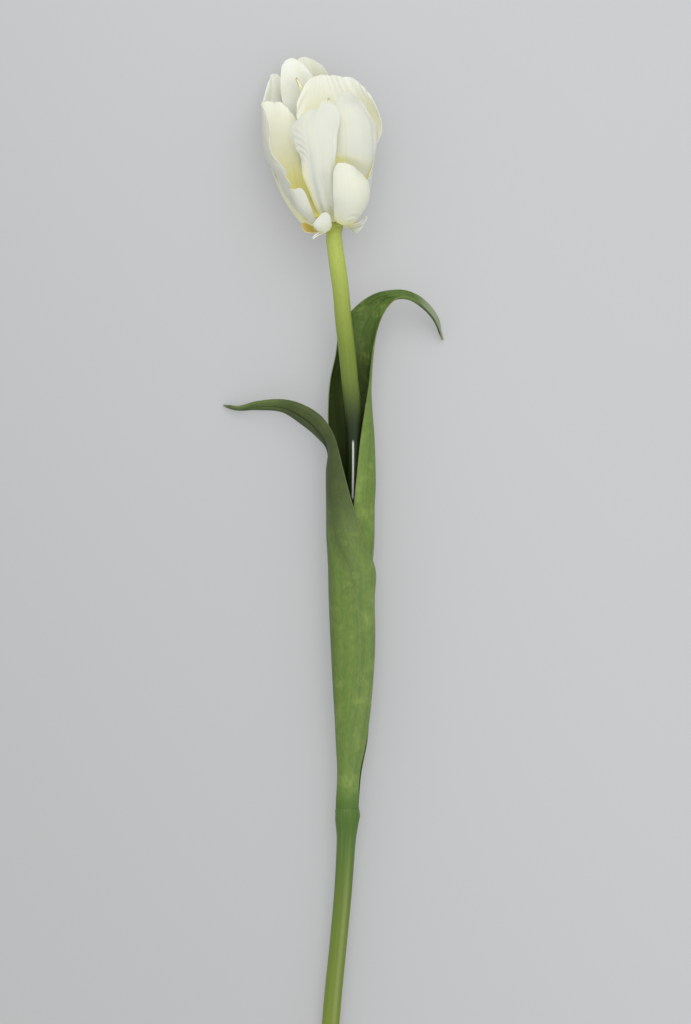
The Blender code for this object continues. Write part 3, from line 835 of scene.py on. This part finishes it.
def left_rim(u, sign):
    """Deep rounded lobes down the front rim of the left petal."""
    lobes = 0.07 * (1 + np.sin(2 * np.pi * 6.5 * u + 1.0)) * hump(u, 0.42, 0.30)
    return np.where(sign > 0, lobes, 0.0)


def left_tone(u, t, side):
    """Deep yellow low inside, paling above; outside a yellow-green stripe and painted greyish shade
    towards the rim.
    """
    inside = 0.9 * (1 - step(u, 0.42, 0.86)) + 0.10
    stripe = 0.55 * hump(t, 0.22, 0.20) * (1 - step(u, 0.5, 0.8))
    outside = stripe + 0.5 * (1 - step(u, 0.1, 0.3))
    return np.where(side, outside, inside), 0.72 * side * step(t, 0.25, 0.6), 0.0


def pleats(u, t):
    """Fine ridges that run square to the margin on the left and over the top edge."""
    margin = 0.22 * step(t, 0.55, 0.95) * step(u, 0.5, 0.7) * np.sin(85 * u + 2 * np.sin(11 * u))
    over = 0.16 * step(u, 0.84, 1.0) * (1 - step(t, 0.6, 0.8)) * np.sin(38 * t + 2 * np.sin(7 * t))
    return margin + over


def hollow_tone(u, t, side):
    """A yellow-green hollow in an inner face with a little painted greyish shade, less at its top.
    """
    hollow = 0.8 * (1 - side) * (1 - step(u, 0.60, 0.95)) * step(t, -0.75, -0.3)
    return hollow, 0.22 * (1 - side) * (1 - 0.4 * step(u, 0.8, 1.0)), 0.0


def rim_tone(u, t, side):
    """Yellow-green towards the right edge of the inner face."""
    return (1 - side) * 0.25 * step(t, 0.2, 0.8) * (1 - step(u, 0.52, 0.72)), 0.0, 0.0


def leaning_rim(u, t):
    """The right edge leans in towards the heart over its lower half."""
    return -1.3 * step(t, 0.60, 1.0) * (1 - step(u, 0.35, 0.5))


def low_right_tone(u, t, side):
    """Cream all over, and yellow-green towards the foot and along its right margin."""
    foot = 0.70 * (1 - step(u, 0.08, 0.46))
    margin = 0.2 * step(t, 0.5, 1.0) * (1 - step(u, 0.5, 0.8))
    return 0.08 + foot + margin, 0.0, 0.0


def centre_top(t):
    """The top edge slants down to the left."""
    return 0.16 * step(-t, -0.3, 1.0)


def back_tone(u, t, side):
    """A trace of yellow-green near the top, and a little painted greyish shade all over."""
    return 0.12 * step(u, 0.6, 0.9), 0.07, 0.0


def cup_tone(u, t, side):
    """Dry and brown, most of all a little below its middle."""
    return 0.0, 0.0, 0.35 * hump(u, 0.4, 0.3)


def tip_tone(u, t, side):
    """A dark dry tip."""
    return 0.0, 0.0, 0.9 * step(u, 0.965, 1.0)


def make_petals():
    """All petals: those of the open bloom, the short outer ones, and the two half-petals.

    The size of a petal is how many steps it has across and along, and its seed picks the
    waves of its margins.
    """
    soft = petal_finish("petal_finish", rgb(0.57, 0.58, 0.525), rgb(0.88, 0.88, 0.74))
    # A lighter copy of the soft finish: painted light for the petals that come out darker under the
    # lamps
    pale = petal_finish("lit_petal_finish", rgb(0.65, 0.66, 0.575), rgb(0.96, 0.96, 0.83))
    gold = petal_finish("yellow_petal_finish", rgb(0.80, 0.76, 0.42), rgb(0.55, 0.35, 0.08))
    slim = petal_finish("slender_petal_finish", rgb(0.86, 0.85, 0.60), rgb(0.88, 0.86, 0.58))
    curled = petal_tone((0.5, 0.9), (0.5, 0.9))
    tipped = petal_tone((0.3, 1.0), (0.3, 1.0), tip_tone)
    petal("petal_inner_right", (126, 40, CORE),
          [(11.0, 5.0, 1.6), (16.0, 15, 3.2), (22.4, 28, 4.2), (25.3, 40, 3.5), (22.6, 52.4, -1)],
          [(-4.6, 6.8, -7.8), (-8, 17, -10.5), (-9.6, 31, -10.5), (-9.4, 45, -7.5),
           (-6.8, 58.5, -5)],
          [4.6, 9.2, 11.2, 12, 9], soft, seed=2, size=(112, 120), crown=8.0, peak=-0.1,
          frill=(0.8, 3, 0.4), relief=pleats,
          tone=petal_tone((0.45, 0.9), (0.4, 0.3), hollow_tone))
    petal("petal_left", (240, 32, CORE),
          [(-6.5, 5.5, -9), (-8.5, 15, -13.5), (-9, 26, -16), (-9.2, 38, -15), (-9.4, 51.0, -12.5)],
          [(-9.5, 4, 7.5), (-14.4, 13, 12.5), (-15.9, 22, 13.1), (-21.6, 32.5, 8.8),
           (-19.2, 50.0, 3.4)],
          [3.6, 6.8, 8.6, 9.3, 9.6], pale, seed=4, size=(112, 128), crown=4.2,
          frill=(0.8, 3, 1.6), sides=left_rim,
          tone=petal_tone((0.0, 0.5), (0.3, 0.5), left_tone))
    petal("petal_back_inner", (192, 20, INNER),
          [(3, 3.6, -11.8), (5.5, 17, -18.5), (6, 34, -19.5), (4.5, 51, -18), (-1, 66, -13)],
          [(-6.2, 4, -12), (-11.5, 18, -17.9), (-14.5, 34, -19.6), (-14.6, 53, -17),
           (-15, 64, -11.5)],
          [1.2, 1.6, 1.6, 2.4, 2.0], pale, seed=5, ragged=0.35, crown=6.2, frill=(0.5, 2, 2.0),
          tone=petal_tone((0.7, 0.7), (0.3, 0.3)))
    petal("petal_front", (-9, 24, MIDDLE),
          [(-6.8, 6.5, 12.2), (-9.9, 18.5, 18.3), (-10.6, 29, 21), (-12.6, 38.8, 20.5),
           (-8.8, 45.8, 20.5)],
          [(3.6, 5.0, 14), (3.6, 18.5, 20.5), (5, 29, 22.8), (7.8, 39, 23.2), (9.0, 48.8, 22.4)],
          [1.2, 1.8, 2, 2, 1.6], soft, seed=6, size=(104, 160), crown=2.2,
          frill=(0.6, 3, 0.6), trim=(0.03, 2, 0.5), relief=front_relief, top=front_top,
          tone=petal_tone((0.5, 0.5), (0.10, 0.25), front_tone))
    petal("petal_front_right", (42, 20, MIDDLE),
          [(4.0, 7, 10.5), (3, 19, 15.8), (3.6, 29, 18.4), (4.5, 40, 18.6), (6.4, 49, 17.8)],
          [(12.3, 6, 4.6), (17.2, 17, 5.4), (21.2, 28, 6.8), (22.4, 38, 7.6), (19.8, 46.5, 8)],
          [2, 3.8, 5, 5.3, 3.5], soft, seed=7, size=(104, 140), crown=3.4, peak=-0.3,
          frill=(0.6, 2.5, 2.2), relief=front_right_relief,
          tone=petal_tone((0.5, 0.5), (0.6, 0.4), front_right_tone))
    petal("petal_back", (172, 20, MIDDLE),
          [(6, 2, -12.8), (9.5, 16, -20.4), (10, 33, -23.0), (9.5, 51, -21.8), (7, 63, -15)],
          [(-1, 2, -13.9), (-2.5, 16, -21.4), (-3.5, 33, -23.8), (-4.6, 51, -22.8),
           (-8.6, 69.8, -15.5)],
          [0.8, 1, 1, 1.2, 1.5], soft, seed=8, ragged=0.35, crown=4.0, frill=(0.5, 2, 1.0),
          tone=petal_tone((0.7, 0.7), (0.35, 0.3), back_tone))
    petal("petal_left_back", (228, 20, MIDDLE),
          [(-5, 2, -14), (-8.2, 17, -21.2), (-9, 33, -23), (-9.5, 50, -22), (-12, 61.5, -18.5)],
          [(-12.5, 2.2, -5.4), (-20.2, 17, -5.8), (-24.7, 33, -9.0), (-24, 49, -12),
           (-20.3, 61.2, -11)],
          [2.4, 4.4, 4.0, 3.8, 2.5], pale, seed=9, ragged=0.4, crown=4.6, peak=-0.3,
          frill=(0.6, 3, 0.2), relief=leaning_rim,
          tone=petal_tone((0.3, 0.6), (0.55, 0.7), rim_tone))
    petal("petal_right_back", (122, 20, MIDDLE),
          [(10.9, 2, -4.4), (15.2, 13, -7.4), (19.4, 28, -9.4), (21.8, 40, -9.8), (19.5, 49, -11)],
          [(7.6, 2, -11.2), (12.5, 14, -18.3), (13.5, 29, -20.3), (13, 42, -20), (11.5, 51, -17)],
          [2, 3.4, 3.8, 3.6, 2.5], soft, seed=10, crown=2.5, frill=(0.6, 3, 2.6),
          tone=petal_tone((0.3, 0.4), (0.15, 0.3)))
    petal("petal_low_right", (40, 20, OUTER),
          [(0.4, 0.6, 14.6), (1.0, 6.4, 21), (1.7, 13.4, 24), (3.0, 23.5, 24.2)],
          [(9.8, 1.4, 8.6), (14.2, 5.8, 10.7), (16.6, 12.6, 13.5), (13.2, 19.0, 17.5)],
          [3.6, 5.8, 6, 3.6], pale, seed=11, size=(96, 96), crown=1.2, frill=(0.4, 2, 0.2),
          relief=low_right_relief, tone=petal_tone((0.5, 0.5), (0.2, 0.4), low_right_tone))
    petal("petal_low_left", (-54, 14, OUTER),
          [(-9.6, 1.2, 7), (-13.8, 7.6, 12), (-16.4, 16.2, 15.6)],
          [(-7, 1.6, 10.8), (-8.6, 7.6, 17), (-10.8, 15.5, 20)],
          [1.0, 2.0, 2.2], soft, seed=12, size=(56, 64), frill=(0.5, 2, 1.2))
    petal("petal_low_centre", (-16, 12, OUTER),
          [(-5.6, -3.4, 10), (-8.4, -1.4, 14.2), (-7.8, 3.0, 16)],
          [(-1.8, -3.8, 10.6), (-0.8, -1.2, 14.8), (-1.2, 3.6, 17)],
          [0.6, 0.9, 0.8], pale, seed=13, size=(56, 64), crown=0.5, frill=(0.3, 2, 0.2),
          top=centre_top, tone=petal_tone((0.5, 0.9), (0.35, 0.9)))
    petal("petal_low_cup", (-86, 12, OUTER),
          [(-9.4, -0.6, -2), (-12.2, 1.6, 1.6)],
          [(-7.2, -3.8, 3.4), (-10.0, -3.4, 7.6)],
          [1.2, 1.4], gold, seed=14, size=(48, 48), slot="petal_yellow", crown=2.0,
          tone=petal_tone((0.5, 1.2), (0.3, 1.0), cup_tone))
    petal("petal_low_curl", (-36, 8, FRINGE),
          [(-4.8, -3.9, 7.2), (-7.4, -4.2, 8.6), (-9.9, -5.9, 7.4)],
          [(-3.8, -4.6, 7.4), (-6.6, -5.4, 9.0), (-9.4, -6.8, 7.8)],
          [0.2, 0.3, 0.2], soft, seed=15, size=(24, 56), tone=curled)
    petal("petal_right_lobe", (78, 14, OUTER),
          [(8.2, -1.6, 4.4), (12.2, -2.0, 6.2)],
          [(6.4, -3.0, 0.6), (8.4, -6.2, 3.4)],
          [0.8, 0.9], soft, seed=16, size=(48, 48), crown=2.4, frill=(0.3, 2, 0.6))
    petal("petal_right_curl", (60, 8, FRINGE),
          [(7.8, -2.4, 7.0), (11.2, -2.0, 8.2), (14.0, 0.6, 8.6)],
          [(7.4, -3.4, 6.6), (11.4, -3.2, 7.8), (14.7, -0.4, 8.6)],
          [0.2, 0.3, 0.2], soft, seed=17, size=(24, 56), tone=curled)
    petal("petaloid_left", (192, 9, HALF_PETAL),
          [(-1.6, 4.5, -11.6), (-2.4, 17, -16.2), (-3.0, 33, -16.6), (-4.2, 48, -14.6),
           (-5.0, 57, -11.6), (-7.0, 63, -10.4)],
          [(-3.2, 4.7, -11.6), (-4.0, 17, -16.0), (-4.6, 33, -16.4), (-5.8, 48, -14.4),
           (-6.4, 56.6, -11.4), (-7.9, 62.4, -10.2)],
          [0.2] * 6, slim, seed=18, size=(20, 120), ragged=0.5, tone=tipped,
          slot="petal_yellow")
    petal("petaloid_right", (20, 14, CORE),
          [(0.6, 10, 6.4), (1.8, 24, 7.0), (3.2, 39, 7.2), (4.3, 51.6, 6.6)],
          [(2.4, 10, 6.2), (3.6, 24, 6.8), (5.0, 39, 7.0), (5.4, 51.2, 6.4)],
          [0.2] * 4, slim, seed=19, size=(20, 100), ragged=0.5, tone=tipped,
          slot="petal_yellow")


# Stem and heart


def on_axis(height, away=0.0, azimuth=0.0):
    """Points in the shared frame at these heights along the bloom, away from its axis."""
    right, front = away * math.sin(azimuth), away * math.cos(azimuth)
    return to_world(three(right, height, front))


def stem_shape(share, turn):
    """Slight flutes and swellings, and a lopsided bulge at the leaf's joint."""
    flutes = 0.006 * np.cos(np.pi * 5 * turn + 1.0) + 0.004 * ripple(12 * turn, 31)
    swellings = 0.008 * ripple(60 * share, 32)
    joint = 0.04 * hump(share, 0.245, 0.012) * np.cos(np.pi * (turn - 0.55))
    return 1 + flutes + swellings + joint


def make_stem():
    """Stem with the swelling of the lower leaf's joint, and the receptacle on top.

    Its cut end rests on the floor.
    """
    line = spline(STEM_LINE, np.linspace(0, 1, STEM_ROWS))
    line[0, 2] = line[0, 3]
    height, radius = spline(RECEPTACLE, np.linspace(0, 1, RECEPTACLE_ROWS)).T
    centres = np.vstack([line[:, :3], on_axis(height)])
    radii = np.concatenate([line[:, 3], radius])
    bar("stem", centres, radii, STEM_SIDES, stem_finish(), stem_shape)


def stigma_lobes(share, turn):
    """Three lobes round the pistil, deeper from its neck on."""
    return 1 + (0.05 + 0.22 * step(share, 0.62, 0.8)) * np.cos(3 * np.pi * turn)


def anther_halves(share, turn):
    """Two halves round a stamen's head."""
    return 1 + 0.22 * step(share, 0.45, 0.55) * np.cos(2 * np.pi * turn)


def make_heart():
    """Pistil with its three-lobed stigma, and six stamens."""
    green = heart_finish("pistil_finish", rgb(0.42, 0.50, 0.18), rgb(0.62, 0.60, 0.26))
    dusty = heart_finish("stamen_finish", rgb(0.62, 0.62, 0.34), rgb(0.50, 0.42, 0.14))
    along = np.linspace(0, 1, HEART_ROWS)
    height, radius = spline(PISTIL, along).T
    bar("pistil", on_axis(height), radius, PISTIL_SIDES, green, stigma_lobes)
    away, height, radius = spline(STAMEN, along).T
    for k in range(STAMENS):
        line = on_axis(height, away, math.radians(360 // STAMENS * k + FIRST_STAMEN))
        bar("stamen_%d" % (k + 1), line, radius, STAMEN_SIDES, dusty, anther_halves)


# Floor, light and camera


# Half the floor's width, the camera's place, and its height over the middle of the flower,
# all in metres
FLOOR_HALF = 15
CAMERA_PLACE = (0.00504, 0.0289, 2.025)
CAMERA_AWAY = 2.0

# The longer side of the camera's film in millimetres, the image's height in pixels, and
# the millimetres a pixel
FILM = 36.0
IMAGE_HEIGHT = 1024
PIXEL = 0.42


def make_floor():
    """Wide plain floor at the height the flower lies on, with painted shade a little darker to the
    left.
    """
    half = FLOOR_HALF
    mesh = bpy.data.meshes.new("floor")
    corners = [(-half, -half, 0), (half, -half, 0), (half, half, 0), (-half, half, 0)]
    mesh.from_pydata(corners, [], [(0, 1, 2, 3)])
    material, shader, place = finish_of(
        "floor_finish", Roughness=0.9, Specular_IOR_Level=0.1, Emission_Strength=0.22,
        Emission_Color=rgb(0.98, 0.99, 1.0))
    x, y = place.parts()[:2]
    # Painted shade: darker towards the left, where the lamp's light falls off
    across = (x * 0.8 + y * 0.35).rise(-0.20, 0.11) * 0.96 + place.noise(6.0, 3.0) * 0.04
    colour = across.between(rgb(0.238, 0.236, 0.232), rgb(0.304, 0.304, 0.306))
    feed(shader, colour)
    mesh.materials.append(material)
    floor = bpy.data.objects.new("floor", mesh)
    bpy.context.scene.collection.objects.link(floor)


def make_light(name, place, aim, size, power, colour):
    """One soft square lamp that the camera doesn't see, turned to face a point."""
    data = bpy.data.lights.new(name, "AREA")
    data.size, data.energy, data.color = size, power, colour
    lamp = bpy.data.objects.new(name, data)
    lamp.visible_camera = False
    lamp.location = place
    heading = np.array(aim, float) - np.array(place, float)
    heading /= np.linalg.norm(heading)
    turn = math.atan2(heading[1], heading[0]) - math.pi / 2
    lamp.rotation_euler = (math.acos(-heading[2]), 0.0, turn)
    bpy.context.scene.collection.objects.link(lamp)


def make_room():
    """Pale surroundings, a large key lamp beyond the bloom, and the camera overhead."""
    scene = bpy.context.scene
    scene.view_settings.view_transform = "Standard"
    world = bpy.data.worlds.new("studio")
    world.use_nodes = True
    background = world.node_tree.nodes["Background"]
    background.inputs["Color"].default_value = rgb(0.93, 0.96, 1.0)
    background.inputs["Strength"].default_value = 0.90
    scene.world = world
    make_light("key", place=(0.22, 0.80, 1.50), aim=(0.0, 0.05, 0.02), size=1.5, power=16.0,
               colour=(1.0, 0.98, 0.94))
    data = bpy.data.cameras.new("camera")
    data.sensor_width = FILM
    data.lens = FILM * CAMERA_AWAY / (IMAGE_HEIGHT * PIXEL * MM)
    camera = bpy.data.objects.new("camera", data)
    camera.location = CAMERA_PLACE
    scene.collection.objects.link(camera)
    scene.camera = camera


make_stem()
make_leaves()
make_petals()
make_heart()
make_floor()
make_room()
